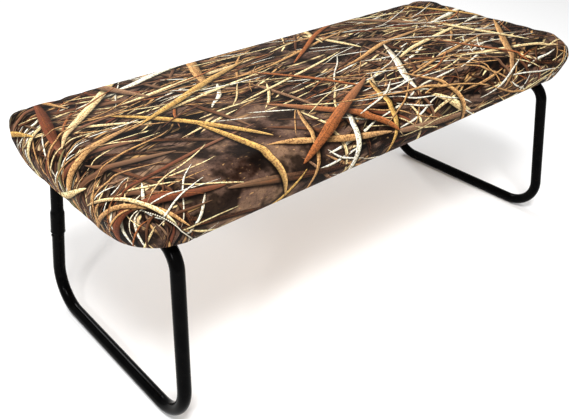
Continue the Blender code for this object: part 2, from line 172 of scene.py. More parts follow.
class Graph:
    """A short way to write shader nodes. Any input may be a number, a colour or another node's socket."""

    def __init__(self, tree):
        self.tree = tree
        self.shader = tree.nodes.get("Principled BSDF")

    def feed(self, socket, value):
        if isinstance(value, bpy.types.NodeSocket):
            self.tree.links.new(value, socket)
        elif value is not None:
            socket.default_value = value

    def node(self, kind, inputs=None, **settings):
        """A node with its settings, and its inputs fed by their names or numbers."""
        made = self.tree.nodes.new(kind)
        for name, value in settings.items():
            setattr(made, name, value)
        for key, value in (inputs or {}).items():
            self.feed(made.inputs[key], value)
        return made

    def surface(self, **inputs):
        """Feed the material's own shader, by the names of its inputs."""
        for name, value in inputs.items():
            self.feed(self.shader.inputs[name.replace("_", " ")], value)

    def math(self, operation, *values):
        return self.node("ShaderNodeMath", dict(enumerate(values)), operation=operation).outputs[0]

    def times(self, first, second):
        return self.math("MULTIPLY", first, second)

    def plus(self, first, second):
        return self.math("ADD", first, second)

    def minus(self, first, second):
        return self.math("SUBTRACT", first, second)

    def vector(self, operation, *values, scale=None):
        inputs = dict(enumerate(values))
        if scale is not None:
            inputs["Scale"] = scale
        made = self.node("ShaderNodeVectorMath", inputs, operation=operation)
        return made.outputs["Value" if operation == "LENGTH" else "Vector"]

    def stretch(self, place, factors):
        return self.vector("MULTIPLY", place, factors)

    def split(self, value):
        return self.node("ShaderNodeSeparateXYZ", {0: value}).outputs

    def join(self, x, y, z=0.0):
        return self.node("ShaderNodeCombineXYZ", {0: x, 1: y, 2: z}).outputs[0]

    def blend(self, factor, first, second, mode="MIX"):
        inputs = {"Factor": factor, 6: first, 7: second}
        return self.node("ShaderNodeMix", inputs, data_type="RGBA", blend_type=mode).outputs[2]

    def noise(self, place, scale, detail, roughness, distortion=0.0, output="Fac"):
        names = ("Vector", "Scale", "Detail", "Roughness", "Distortion")
        inputs = dict(zip(names, (place, scale, detail, roughness, distortion)))
        return self.node("ShaderNodeTexNoise", inputs).outputs[output]

    def ramp(self, value, stops, interpolation="LINEAR"):
        made = self.node("ShaderNodeValToRGB")
        ramp = made.color_ramp
        ramp.interpolation = interpolation
        for element, (position, colour) in zip(ramp.elements, stops):
            element.position = position
            element.color = (*colour, 1.0)
        for position, colour in stops[2:]:
            ramp.elements.new(position).color = (*colour, 1.0)
        self.feed(made.inputs[0], value)
        return made.outputs[0]

    def span(self, value, low, high, to_low=0.0, to_high=1.0, smooth=True):
        inputs = {"Value": value, "From Min": low, "From Max": high, "To Min": to_low, "To Max": to_high}
        kind = "SMOOTHSTEP" if smooth else "LINEAR"
        return self.node("ShaderNodeMapRange", inputs, interpolation_type=kind).outputs["Result"]

    def place(self, name):
        return self.node("ShaderNodeAttribute", attribute_name=name).outputs["Vector"]

    def object_place(self):
        return self.node("ShaderNodeTexCoord").outputs["Object"]

    def bump(self, height, distance, strength=1.0, normal=None):
        inputs = {"Strength": strength, "Distance": distance, "Height": height, "Normal": normal}
        return self.node("ShaderNodeBump", inputs).outputs[0]


def srgb(red, green, blue):
    """A colour given as 0-255 screen values, as the linear values that shaders use."""
    def linear(value):
        value = value / 255
        return value / 12.92 if value <= 0.04045 else ((value + 0.055) / 1.055) ** 2.4
    return (linear(red), linear(green), linear(blue))


def principled(name, roughness, **settings):
    """A new material with a Principled shader, and its graph."""
    material = bpy.data.materials.new(name)
    material.use_nodes = True
    graph = Graph(material.node_tree)
    graph.surface(Roughness=roughness, **settings)
    return material, graph


# Printed fabric: a reed bed drawn as layers of random blades on the unrolled cover

def rotation(graph, place, angle):
    """Turn a flat place by an angle in radians."""
    made = graph.node("ShaderNodeVectorRotate", {"Vector": place, "Angle": angle}, rotation_type="Z_AXIS")
    return made.outputs[0]


BLADE_INPUTS = ("Angle", "Length", "Pitch", "Width", "Lean", "Curve", "Share", "Seed", "Calm")
BLADE_OUTPUTS = ("Mask", "Shadow", "Across", "Along", "Random")


def blade_group():
    """A node group that draws one layer of separate tapering blades.

    It gives the blades' mask, a shadow mask beside them, the place across and along each blade,
    and three random numbers for each blade.
    """
    tree = bpy.data.node_groups.new("reed_blades", "ShaderNodeTree")
    face = tree.interface
    face.new_socket("Place", in_out="INPUT", socket_type="NodeSocketVector")
    for name in BLADE_INPUTS:
        face.new_socket(name, in_out="INPUT", socket_type="NodeSocketFloat")
    for name in BLADE_OUTPUTS:
        kind = "NodeSocketVector" if name == "Random" else "NodeSocketFloat"
        face.new_socket(name, in_out="OUTPUT", socket_type=kind)
    graph = Graph(tree)
    given = graph.node("NodeGroupInput").outputs
    result = graph.node("NodeGroupOutput").inputs
    turned = graph.split(rotation(graph, given["Place"], given["Angle"]))
    row_place = graph.math("DIVIDE", turned[1], given["Pitch"])
    row = graph.math("FLOOR", row_place)
    row_noise = graph.node("ShaderNodeTexWhiteNoise", noise_dimensions="2D")
    graph.feed(row_noise.inputs["Vector"], graph.join(row, given["Seed"]))
    run = graph.math("DIVIDE", turned[0], given["Length"])
    row_start = graph.times(row_noise.outputs["Value"], 17.0)
    run = graph.plus(run, row_start)
    column = graph.math("FLOOR", run)
    along = graph.minus(run, column)
    across = graph.minus(graph.minus(row_place, row), 0.5)
    cell_noise = graph.node("ShaderNodeTexWhiteNoise", noise_dimensions="3D")
    graph.feed(cell_noise.inputs["Vector"], graph.join(row, column, given["Seed"]))
    draws = graph.split(cell_noise.outputs["Color"])
    middle = graph.minus(along, 0.5)
    tilt = graph.times(graph.minus(draws[1], 0.5), given["Lean"])
    bow = graph.times(graph.minus(draws[2], 0.5), given["Curve"])
    arch = graph.minus(graph.times(middle, middle), 0.08)
    centre = graph.plus(graph.times(tilt, middle), graph.times(bow, arch))
    taper = graph.times(graph.times(along, graph.minus(1.0, along)), 4.0)
    taper = graph.math("POWER", taper, 0.55)
    half = graph.math("DIVIDE", graph.times(given["Width"], 0.5), given["Pitch"])
    half = graph.times(half, graph.math("MULTIPLY_ADD", draws[2], 0.9, 0.45))
    half = graph.times(half, taper)
    side = graph.math("DIVIDE", graph.minus(across, centre), graph.plus(half, 0.0001))
    cell_middle = graph.minus(graph.plus(column, 0.5), row_start)
    row_middle = graph.plus(row, 0.5)
    cell_place = graph.join(
        graph.times(cell_middle, given["Length"]),
        graph.times(row_middle, given["Pitch"]),
    )
    cloth_place = rotation(graph, cell_place, graph.times(given["Angle"], -1.0))
    cloth_place = graph.stretch(cloth_place, (1.0, 1.0, 0.0))
    clump = graph.span(graph.noise(cloth_place, 4.2, 1.0, 0.5), 0.40, 0.58, 0.30, 1.40)
    from_calm = graph.vector("LENGTH", graph.vector("SUBTRACT", cloth_place, CALM_PLACE))
    clump = graph.times(clump, graph.span(from_calm, 0.08, 0.19, given["Calm"], 1.0))
    shown = graph.math("LESS_THAN", draws[0], graph.times(given["Share"], clump))
    edge = graph.math("ABSOLUTE", side)
    mask = graph.times(graph.span(edge, 1.0, 0.86), shown)
    shade_edge = graph.math("ABSOLUTE", graph.plus(side, 0.45))
    shadow = graph.times(graph.span(shade_edge, 1.9, 0.7), shown)
    for name, value in zip(BLADE_OUTPUTS, (mask, shadow, side, along, cell_noise.outputs["Color"])):
        graph.feed(result[name], value)
    return tree


# The print's inks
DARK = srgb(13, 7, 4)
UMBER = srgb(42, 25, 16)
BARK = srgb(84, 56, 39)
MUD = srgb(97, 74, 61)
TAUPE = srgb(138, 108, 82)
TAN = srgb(190, 147, 96)
STRAW = srgb(240, 208, 152)
CREAM = srgb(253, 240, 206)
GOLD = srgb(200, 160, 92)
RUST = srgb(154, 94, 54)
RUSSET = srgb(108, 61, 42)
GREEN = srgb(96, 106, 60)
INK_CONTRAST = 1.16
INK_STRENGTH = (1.42, 1.53, 1.70)
BRIGHTEST_INK = (0.93, 0.93, 0.93)

# The patch of bare mud: its middle on the cloth, and how blades thin out or gather there
CALM_PLACE = (-0.30, -0.21, 0.0)
BOLD_BLADE = 0.0135
BOLD_CALM = 1.5
THIN_CALM = 0.10
WEAVE_PITCH = 0.0011
PLY_PAIR = 0.0048


def stain(graph, colour, place, grain, limits, strength, ink):
    """Lay an ink over a colour where a noise is high."""
    amount = graph.span(graph.noise(place, *grain), *limits, 0.0, strength)
    return graph.blend(amount, colour, (*ink, 1.0))


def reed_ground(graph, place):
    """The muddy, cloudy ground behind the reeds."""
    cloud = graph.noise(place, 9.0, 5.0, 0.62)
    ground = graph.ramp(cloud, ((0.30, DARK), (0.66, TAUPE), (0.39, UMBER), (0.50, MUD)))
    ground = stain(graph, ground, place, (260.0, 2.0, 0.7), (0.45, 0.72), 0.45, DARK)
    drawn_out = graph.stretch(place, (0.45, 1.0, 1.0))
    return stain(graph, ground, drawn_out, (210.0, 2.0, 0.6), (0.62, 0.72), 0.55, TAN)


def straw_litter(graph, colour, place, angle, length, width, share, seed, tones):
    """Densely packed splinters of straw, from a stretched cell pattern."""
    place = after(graph, place, colour)
    turned = rotation(graph, place, angle)
    shifted = graph.vector("ADD", turned, (seed * 1.7, seed * 0.9, 0.0))
    stretched = graph.stretch(shifted, (1.0 / length, 1.0 / width, 0.0))
    splinters = []
    for feature in ("F1", "DISTANCE_TO_EDGE"):
        inputs = {"Vector": stretched, "Scale": 1.0}
        cells = graph.node("ShaderNodeTexVoronoi", inputs, voronoi_dimensions="2D", feature=feature)
        splinters.append(cells.outputs)
    draws = graph.split(splinters[0]["Color"])
    tone = graph.ramp(draws[0], tones, "CONSTANT")
    gap = graph.span(splinters[1]["Distance"], 0.05, 0.30)
    tone = graph.blend(gap, (*DARK, 1.0), tone)
    patches = graph.noise(place, 6.5, 2.0, 0.5)
    from_calm = graph.vector("LENGTH", graph.vector("SUBTRACT", place, CALM_PLACE))
    patches = graph.plus(patches, graph.span(from_calm, 0.06, 0.19, -0.40, 0.0))
    patch = graph.span(graph.plus(patches, graph.times(draws[1], 0.30)), 0.54, 0.74)
    shown = graph.times(graph.math("LESS_THAN", draws[2], share), patch)
    return graph.blend(shown, colour, tone)


def after(graph, place, colour):
    """The same place, tied to a colour by a hair, so that layers are worked out one by one."""
    return graph.vector("MULTIPLY_ADD", colour, (1e-7, 1e-7, 1e-7), place)


def blade_layer(graph, group, colour, place, look, tones, seed):
    """Paint one layer of blades, with a shadow beside each, a lit edge and a midrib."""
    place = after(graph, place, colour)
    _, length, _, width, *_ = look
    made = graph.node("ShaderNodeGroup", node_tree=group)
    graph.feed(made.inputs["Place"], place)
    calm = BOLD_CALM if width > BOLD_BLADE else THIN_CALM
    for name, value in zip(BLADE_INPUTS, (*look, seed, calm)):
        made.inputs[name].default_value = value
    out = made.outputs
    draws = graph.split(out["Random"])
    shaded = graph.blend(graph.times(out["Shadow"], 0.88), colour, (*DARK, 1.0))
    pick = graph.math("FRACT", graph.times(graph.plus(draws[0], draws[2]), 7.31))
    tone = graph.ramp(pick, tones, "CONSTANT")
    fibre_place = graph.join(
        graph.times(out["Along"], length * 22.0), graph.times(out["Across"], 2.6), pick
    )
    tone = stain(graph, tone, fibre_place, (2.4, 4.0, 0.68), (0.46, 0.68), 0.60, BARK)
    tone = stain(graph, tone, fibre_place, (0.9, 2.0, 0.60), (0.52, 0.72), 0.45, RUST)
    tone = stain(graph, tone, place, (330.0, 2.0, 0.75), (0.49, 0.58), 0.70, BARK)
    from_tip = graph.math("ABSOLUTE", graph.minus(out["Along"], draws[1]))
    tip = graph.span(from_tip, 0.25, 0.9, 0.0, 0.45)
    tone = graph.blend(tip, tone, (*TAUPE, 1.0))
    lit = graph.span(out["Across"], -1.0, 0.5, 0.38, 1.30, smooth=False)
    rim = graph.span(graph.math("ABSOLUTE", graph.minus(out["Across"], 0.12)), 0.0, 0.16, 0.72, 1.0)
    light = graph.times(lit, rim)
    tone = graph.blend(1.0, tone, graph.join(light, light, light), "MULTIPLY")
    return graph.blend(out["Mask"], shaded, tone)


def reed_print(graph, place):
    """The whole print, from the ground up to the boldest blades."""
    drift = graph.noise(place, 2.3, 1.0, 0.4, output="Color")
    sway = graph.vector("SCALE", graph.vector("SUBTRACT", drift, (0.5, 0.5, 0.5)), scale=0.12)
    flow = graph.vector("ADD", place, sway)
    ripple = graph.noise(place, 7.0, 1.0, 0.4, output="Color")
    curl = graph.vector("SCALE", graph.vector("SUBTRACT", ripple, (0.5, 0.5, 0.5)), scale=0.040)
    wavy = graph.vector("ADD", flow, curl)
    brown = (
        (0.0, DARK), (0.20, UMBER), (0.38, BARK), (0.56, TAUPE), (0.72, TAN), (0.84, STRAW), (0.93, RUSSET)
    )
    pale = ((0.0, BARK), (0.16, TAN), (0.40, STRAW), (0.66, CREAM), (0.92, RUST))
    warm = ((0.0, TAN), (0.20, RUST), (0.38, STRAW), (0.60, GOLD), (0.74, RUSSET), (0.88, CREAM))
    bold = (
        (0.0, STRAW), (0.22, TAN), (0.40, GOLD), (0.58, RUST), (0.68, STRAW), (0.84, TAUPE), (0.92, GREEN)
    )
    group = blade_group()
    colour = reed_ground(graph, place)
    colour = straw_litter(graph, colour, wavy, 0.08, 0.085, 0.0062, 0.85, 1.0, brown)
    colour = straw_litter(graph, colour, wavy, -0.42, 0.050, 0.0046, 0.62, 2.0, brown)
    shade = graph.noise(after(graph, place, colour), 15.0, 3.0, 0.6)
    colour = graph.blend(graph.span(shade, 0.42, 0.55, 0.85, 0.0), colour, (*DARK, 1.0))
    layers = (
        (flow, (0.62, 0.17, 0.034, 0.0110, 0.8, 0.8, 0.50), brown),
        (wavy, (-0.15, 0.13, 0.018, 0.0042, 0.7, 1.0, 0.60), pale),
        (flow, (1.35, 0.16, 0.044, 0.0100, 0.9, 0.9, 0.40), brown),
        (wavy, (-0.85, 0.12, 0.026, 0.0046, 0.8, 0.9, 0.38), pale),
        (flow, (0.22, 0.26, 0.052, 0.0140, 0.6, 0.6, 0.42), brown),
        (wavy, (0.45, 0.09, 0.018, 0.0032, 0.8, 1.2, 0.46), pale),
        (flow, (-0.22, 0.30, 0.062, 0.0130, 0.7, 0.6, 0.40), warm),
        (flow, (-1.25, 0.20, 0.090, 0.0180, 0.8, 0.8, 0.26), warm),
        (wavy, (0.08, 0.20, 0.026, 0.0036, 0.8, 1.0, 0.42), pale),
        (flow, (0.95, 0.25, 0.120, 0.0200, 0.8, 0.4, 0.28), bold),
        (flow, (-0.60, 0.31, 0.130, 0.0160, 0.9, 0.4, 0.26), bold),
        (flow, (1.20, 0.21, 0.100, 0.0150, 0.7, 0.4, 0.22), bold),
        (wavy, (-0.35, 0.16, 0.040, 0.0034, 1.0, 1.2, 0.38), pale),
        (wavy, (0.30, 0.34, 0.100, 0.0052, 0.8, 0.6, 0.42), pale),
    )
    for seed, (field, look, tones) in enumerate(layers, start=3):
        colour = blade_layer(graph, group, colour, field, look, tones, float(seed))
    return colour


def printed_fabric():
    """Printed polyester canvas: the reed print over a plain weave with a soft sheen."""
    material, graph = principled(
        "printed_fabric", 0.6, Sheen_Weight=0.005, Sheen_Roughness=0.4, Specular_IOR_Level=0.03
    )
    upper = graph.place("cloth_place")
    lower = graph.place("flap_place_and_shade")
    past_seam = graph.math("LESS_THAN", graph.split(upper)[2], 0.0)
    chosen = graph.node("ShaderNodeMix", data_type="VECTOR")
    for key, value in (("Factor", past_seam), (4, upper), (5, lower)):
        graph.feed(chosen.inputs[key], value)
    flat = graph.stretch(chosen.outputs[1], (1.0, 1.0, 0.0))
    ink = graph.node("ShaderNodeGamma")
    graph.feed(ink.inputs["Color"], reed_print(graph, flat))
    ink.inputs["Gamma"].default_value = INK_CONTRAST
    strong = graph.stretch(ink.outputs[0], INK_STRENGTH)
    colour = graph.vector("MINIMUM", strong, BRIGHTEST_INK)
    # Painted shade at the hem and along the darts, from the third number of the flap place, blended towards
    # DARK.
    hem = graph.span(graph.split(lower)[2], 0.0, 1.0, smooth=False)
    colour = graph.blend(graph.times(hem, 0.85), colour, (*DARK, 1.0))
    graph.surface(Base_Color=colour)
    places = graph.split(flat)
    thread = 2 * math.pi / WEAVE_PITCH
    warp = graph.math("SINE", graph.times(places[0], thread))
    weft = graph.math("SINE", graph.times(places[1], thread))
    weave = graph.times(warp, weft)
    slub = graph.noise(flat, 900.0, 2.0, 0.6)
    height = graph.math("MULTIPLY_ADD", slub, 0.8, weave)
    normal = graph.bump(height, 0.00012, 0.5)
    drape = graph.noise(flat, 26.0, 2.0, 0.5)
    graph.surface(Normal=graph.bump(drape, 0.0012, 0.6, normal))
    return material


def thread_material():
    """Twisted polyester sewing thread."""
    material, graph = principled("thread", 0.55, Sheen_Weight=0.2)
    twist = graph.noise(graph.object_place(), 1400.0, 2.0, 0.6)
    colour = graph.ramp(twist, ((0.3, srgb(206, 190, 158)), (0.7, srgb(252, 246, 228))))
    graph.surface(Base_Color=colour, Normal=graph.bump(twist, 0.0003, 0.7))
    return material


def powder_coat():
    """Gloss black powder coat on tube: fine orange peel, faint dust and a few rubbed places."""
    material, graph = principled("black_powder_coat", 0.16, Specular_IOR_Level=0.03)
    place = graph.object_place()
    dust = graph.noise(place, 55.0, 4.0, 0.65)
    rub = graph.noise(graph.stretch(place, (1.0, 1.0, 0.35)), 140.0, 3.0, 0.7)
    rubbed = graph.span(rub, 0.70, 0.78)
    colour = graph.ramp(dust, ((0.40, (0.0006, 0.0006, 0.0007)), (0.75, (0.0018, 0.0017, 0.0016))))
    colour = graph.blend(graph.times(rubbed, 0.35), colour, (0.022, 0.021, 0.020, 1.0))
    gloss = graph.span(dust, 0.3, 0.8, 0.14, 0.24)
    peel = graph.noise(place, 520.0, 2.0, 0.5)
    graph.surface(
        Base_Color=colour,
        Roughness=graph.math("MULTIPLY_ADD", rubbed, 0.2, gloss),
        Normal=graph.bump(peel, 0.00012, 0.35),
    )
    return material


def black_plate():
    """Pressed steel with a satin black finish, worn towards bare metal on its high spots."""
    material, graph = principled("black_plate", 0.42, Specular_IOR_Level=0.5)
    grain = graph.noise(graph.object_place(), 160.0, 4.0, 0.65)
    worn = graph.span(grain, 0.66, 0.80)
    graph.surface(
        Base_Color=graph.blend(worn, (0.016, 0.016, 0.017, 1.0), (0.16, 0.155, 0.15, 1.0)),
        Metallic=graph.times(worn, 0.8),
        Roughness=graph.span(grain, 0.2, 0.8, 0.36, 0.52),
        Normal=graph.bump(grain, 0.0002, 0.4),
    )
    return material


def zinc_plate():
    """Bright zinc plating with faint turning marks and dull patches."""
    material, graph = principled("zinc", 0.32, Metallic=1.0)
    place = graph.object_place()
    lines = graph.noise(graph.stretch(place, (1.0, 1.0, 6.0)), 420.0, 3.0, 0.6)
    dull = graph.noise(place, 210.0, 3.0, 0.6)
    graph.surface(
        Base_Color=graph.ramp(dull, ((0.3, (0.42, 0.42, 0.40)), (0.7, (0.66, 0.66, 0.63)))),
        Roughness=graph.span(lines, 0.3, 0.7, 0.24, 0.42),
        Normal=graph.bump(lines, 0.0001, 0.3),
    )
    return material


def nylon():
    """Moulded dark grey nylon."""
    material, graph = principled("nylon", 0.5, Specular_IOR_Level=0.45)
    grain = graph.noise(graph.object_place(), 700.0, 2.0, 0.6)
    graph.surface(
        Base_Color=graph.ramp(grain, ((0.3, (0.030, 0.030, 0.032)), (0.7, (0.058, 0.058, 0.060)))),
        Roughness=graph.span(grain, 0.3, 0.7, 0.44, 0.60),
        Normal=graph.bump(grain, 0.0001, 0.4),
    )
    return material


def plywood():
    """Plywood: long grain figure on the faces, five plies at the edge."""
    material, graph = principled("plywood", 0.68)
    place = graph.object_place()
    figure = graph.noise(graph.stretch(place, (1.0, 9.0, 9.0)), 9.0, 6.0, 0.62, 1.4)
    pores = graph.noise(graph.stretch(place, (4.0, 90.0, 90.0)), 14.0, 3.0, 0.6)
    tones = ((0.25, srgb(146, 106, 66)), (0.75, srgb(206, 170, 122)), (0.5, srgb(184, 146, 98)))
    wood = graph.ramp(figure, tones)
    wood = graph.blend(graph.span(pores, 0.55, 0.75, 0.0, 0.5), wood, (*srgb(104, 72, 44), 1.0))
    ply = graph.math("FRACT", graph.times(graph.split(place)[2], 1.0 / PLY_PAIR))
    facing = graph.math("ABSOLUTE", graph.split(graph.node("ShaderNodeNewGeometry").outputs["Normal"])[2])
    edge = graph.times(graph.math("LESS_THAN", facing, 0.5), graph.math("LESS_THAN", ply, 0.5))
    graph.surface(
        Base_Color=graph.blend(graph.times(edge, 0.6), wood, (*srgb(96, 64, 40), 1.0)),
        Roughness=graph.span(pores, 0.3, 0.8, 0.60, 0.78),
        Normal=graph.bump(pores, 0.0003, 0.4),
    )
    return material


def open_cell_foam():
    """Pale open-cell foam."""
    material, graph = principled("open_cell_foam", 0.95)
    cells = graph.node("ShaderNodeTexVoronoi", {"Vector": graph.object_place(), "Scale": 900.0}, feature="F1")
    hole = cells.outputs["Distance"]
    colour = graph.ramp(hole, ((0.1, srgb(190, 176, 120)), (0.6, srgb(240, 230, 186))))
    graph.surface(Base_Color=colour, Normal=graph.bump(hole, 0.0006, 0.7))
    return material


# Mesh helpers

def put_in_scene(name, data):
    """A new object in the scene, for a mesh, a light or a camera."""
    made = bpy.data.objects.new(name, data)
    bpy.context.scene.collection.objects.link(made)
    return made


def new_piece(name, bm, material, smooth_angle=None):
    """A finished piece from a bmesh."""
    bmesh.ops.recalc_face_normals(bm, faces=bm.faces)
    mesh = bpy.data.meshes.new(name)
    bm.to_mesh(mesh)
    bm.free()
    if smooth_angle is not None:
        mesh.shade_smooth()
        mesh.set_sharp_from_angle(angle=math.radians(smooth_angle))
    if material is not None:
        mesh.materials.append(material)
    return put_in_scene(name, mesh)


def skin_rings(bm, rings):
    """Join equal rings of points with quads and cap both ends."""
    rows = [[bm.verts.new(point) for point in ring] for ring in rings]
    count = len(rows[0])
    for lower, upper in zip(rows[:-1], rows[1:]):
        for index in range(count):
            following = (index + 1) % count
            bm.faces.new((lower[index], lower[following], upper[following], upper[index]))
    bm.faces.new(list(reversed(rows[0])))
    bm.faces.new(rows[-1])


def circle(centre, side, other, radius, count):
    """Points round a centre, in the plane of two directions."""
    angles = [2 * math.pi * step / count for step in range(count)]
    return [centre + (side * math.cos(angle) + other * math.sin(angle)) * radius for angle in angles]


def coordinates(mesh, kind="co"):
    """A mesh's points as an array, or their normals when the kind is "normal"."""
    flat = np.empty(len(mesh.vertices) * 3)
    mesh.vertices.foreach_get(kind, flat)
    return flat.reshape(-1, 3)


def set_coordinates(mesh, points):
    """Write an array of points back to a mesh."""
    mesh.vertices.foreach_set("co", points.ravel())
    mesh.update()


def freeze_modifiers(piece):
    """Apply a piece's modifiers to its mesh."""
    graph = bpy.context.evaluated_depsgraph_get()
    made = bpy.data.meshes.new_from_object(piece.evaluated_get(graph))
    piece.modifiers.clear()
    piece.data = made


def smooth_step(value, low, high):
    """A smooth 0 to 1 ramp between two limits."""
    share = np.clip((value - low) / (high - low), 0.0, 1.0)
    return share * share * (3.0 - 2.0 * share)


# Seat

def seat_ring(inset, height):
    """The seat's rounded outline, drawn in by an inset, at a height. Its corners widen to the hem."""
    drop = max(SHOULDER - height, 0.0) / (SHOULDER - SEAT_BOTTOM)
    widened = (HEM_CORNER_RADIUS + SIDE_INSET - CORNER_RADIUS) * drop
    radius = CORNER_RADIUS + widened - inset
    half_x = HALF_LENGTH - inset - radius
    half_y = HALF_DEPTH - inset - radius
    points = []
    for quarter, (sign_x, sign_y) in enumerate(((1, 1), (-1, 1), (-1, -1), (1, -1))):
        for step in range(CORNER_STEPS + 1):
            angle = math.pi / 2 * (quarter + step / CORNER_STEPS)
            x = sign_x * half_x + radius * math.cos(angle)
            y = sign_y * half_y + radius * math.sin(angle)
            points.append(Vector((x, y, height)))
    return points


def cushion_rings(shrink):
    """The cushion's side, from its hem up and over its rounded top edge."""
    rings = [seat_ring(SIDE_INSET + FLAT_RIM + shrink * 0.3, SEAT_BOTTOM)]
    for step in range(SIDE_STEPS + 1):
        share = step / SIDE_STEPS
        height = SEAT_BOTTOM + FLAT_RIM + (SHOULDER - SEAT_BOTTOM - FLAT_RIM) * share
        bulge = SIDE_BULGE * math.sin(math.pi * share)
        inset = SIDE_INSET * (SHOULDER - height) / (SHOULDER - SEAT_BOTTOM)
        rings.append(seat_ring(inset + shrink * (0.3 + 0.7 * share) - bulge, height))
    for step in range(1, EDGE_STEPS + 1):
        angle = math.pi / 2 * step / EDGE_STEPS
        inset = EDGE_RADIUS - EDGE_RADIUS * math.cos(angle) + shrink
        rings.append(seat_ring(inset, SHOULDER - shrink + EDGE_RADIUS * math.sin(angle)))
    return rings


def make_cushion():
    """The closed cushion form, remeshed evenly for the cloth simulation."""
    bm = bmesh.new()
    skin_rings(bm, cushion_rings(SHRINK))
    piece = new_piece("seat_cover_cushion", bm, None)
    remesh = piece.modifiers.new("even_mesh", "REMESH")
    remesh.mode = "VOXEL"
    remesh.voxel_size = VOXEL
    freeze_modifiers(piece)
    return piece


def swell(piece):
    """Swell the cushion by cloth simulation. Its hem is held, and no point moves past the cap."""
    scene = bpy.context.scene
    start = coordinates(piece.data)
    normals = coordinates(piece.data, "normal")
    held = piece.vertex_groups.new(name="held")
    held.add([int(i) for i in np.nonzero(start[:, 2] < SEAT_BOTTOM + HELD_HEIGHT)[0]], 1.0, "REPLACE")
    cloth = piece.modifiers.new("cloth", "CLOTH")
    cloth.settings.vertex_group_mass = "held"
    cloth.settings.quality = 4
    cloth.settings.use_pressure = True
    cloth.settings.uniform_pressure_force = PRESSURE
    cloth.settings.effector_weights.gravity = 0.0
    cloth.collision_settings.use_collision = False
    cloth.point_cache.frame_start = 1
    cloth.point_cache.frame_end = SIMULATION_FRAMES
    for number in range(1, SIMULATION_FRAMES + 1):
        scene.frame_set(number)
    graph = bpy.context.evaluated_depsgraph_get()
    swollen = coordinates(piece.evaluated_get(graph).to_mesh())
    piece.modifiers.clear()
    piece.vertex_groups.clear()
    moved = swollen - start
    outward = np.sum(moved * normals, axis=1, keepdims=True)
    sliding = moved - outward * normals
    outward = SWELL_CAP * np.tanh(np.maximum(outward, 0.0) / SWELL_CAP)
    length = np.maximum(np.linalg.norm(sliding, axis=1, keepdims=True), 1e-9)
    sliding = sliding / length * SLIDE_CAP * np.tanh(length / SLIDE_CAP)
    set_coordinates(piece.data, start + outward * normals + sliding)


def fit_to_seat(piece):
    """Bring the swollen cushion to the seat's own length, depth and height."""
    points = coordinates(piece.data)
    points[:, 0] *= HALF_LENGTH / np.abs(points[:, 0]).max()
    points[:, 1] *= HALF_DEPTH / np.abs(points[:, 1]).max()
    rise = (points[:, 2] - SEAT_BOTTOM) / (points[:, 2].max() - SEAT_BOTTOM)
    points[:, 2] += (SEAT_TOP - points[:, 2].max()) * smooth_step(rise, 0.2, 1.0)
    for centre, size, pull in CORNER_PULLS:
        reach = np.linalg.norm((points - np.array(centre)) / np.array(size), axis=1)
        points += np.exp(-(reach**2))[:, None] * np.array(pull)
    set_coordinates(piece.data, points)


def outline_distance(points):
    """For points seen from above: how far inside the seat's outline, and the way out."""
    reach = np.abs(points[:, :2]) - (np.array([HALF_LENGTH, HALF_DEPTH]) - CORNER_RADIUS)
    corner = (reach > 0).all(axis=1)
    from_corner = np.linalg.norm(np.maximum(reach, 0), axis=1)
    distance = np.where(corner, from_corner, reach.max(axis=1)) - CORNER_RADIUS
    way = np.where(
        corner[:, None],
        np.maximum(reach, 0) / np.maximum(from_corner, 1e-9)[:, None],
        np.stack([reach[:, 0] >= reach[:, 1], reach[:, 0] < reach[:, 1]], axis=1).astype(float),
    )
    return -distance, way


def unrolled(points):
    """Where each point of the cover lies on the flat cloth, and on the cloth of the corner flaps.

    The third number of the first is the signed distance past the dart's seam, and of the second
    how much painted shade darkens the cloth under the hem, from 0 to 1.
    """
    signs = np.where(points[:, :2] < 0, -1.0, 1.0)
    inset, way = outline_distance(points)
    inward = np.clip(EDGE_RADIUS - inset, 0.0, EDGE_RADIUS)
    drop = SEAT_TOP - points[:, 2]
    angle = np.arctan2(inward, np.maximum(EDGE_RADIUS - drop, 1e-6))
    run = EDGE_RADIUS * np.where(drop < EDGE_RADIUS, angle, math.pi / 2)
    run = run + np.maximum(drop - EDGE_RADIUS, 0.0) * SIDE_SLOPE
    base = np.abs(points[:, :2]) - way * inward[:, None]
    flat = base + way * run[:, None]
    under = np.maximum(inset - SIDE_INSET - 0.001, 0.0) * (points[:, 2] < SEAT_BOTTOM + 0.0015)
    flat = flat + way * under[:, None]
    past = flat - np.array(DART_START)
    seam = past[:, 1] * -DART_ALONG[0] + past[:, 0] * DART_ALONG[1]
    turn = np.arctan2(way[:, 1], way[:, 0])
    beyond = np.maximum(HALF_LENGTH - CORNER_RADIUS - np.abs(points[:, 0]), 0.0) * (turn > 1.5)
    flap_u = HALF_LENGTH - EDGE_RADIUS + run + under
    flap_v = np.where(
        turn < 0.01,
        np.abs(points[:, 1]),
        HALF_DEPTH - CORNER_RADIUS + CORNER_RADIUS * turn + beyond,
    )
    share = smooth_step(run, FLAP_START, FLAP_END)[:, None]
    flap = flat * (1 - share) + np.stack([flap_u, flap_v], axis=1) * share
    # Painted shade under the hem: 1 at the seat's bottom, easing to 0 by 3.5 mm above it.
    dark = smooth_step(-points[:, 2], -(SEAT_BOTTOM + 0.0035), -(SEAT_BOTTOM + 0.001))
    upper = np.concatenate([flat * signs, -seam[:, None]], axis=1)
    lower = np.concatenate([flap * signs, dark[:, None]], axis=1)
    return upper, lower


def store_vectors(mesh, name, values):
    """Keep a vector for every point of a mesh."""
    attribute = mesh.attributes.new(name, "FLOAT_VECTOR", "POINT")
    attribute.data.foreach_set("vector", values.astype(np.float32).ravel())


def dart_place(points):
    """Each point's place along and beside its corner's dart, on the unrolled cover."""
    upper, _ = unrolled(points)
    past = np.abs(upper[:, :2]) - np.array(DART_START)
    return past @ DART_ALONG, upper[:, 2]


def on_dart(place, before, after, ease_in, ease_out):
    """1 for a place along the dart and 0 past its ends, with a soft change between."""
    end = DART_LENGTH + after
    return smooth_step(place, before, before + ease_in) * (1 - smooth_step(place, end, end + ease_out))


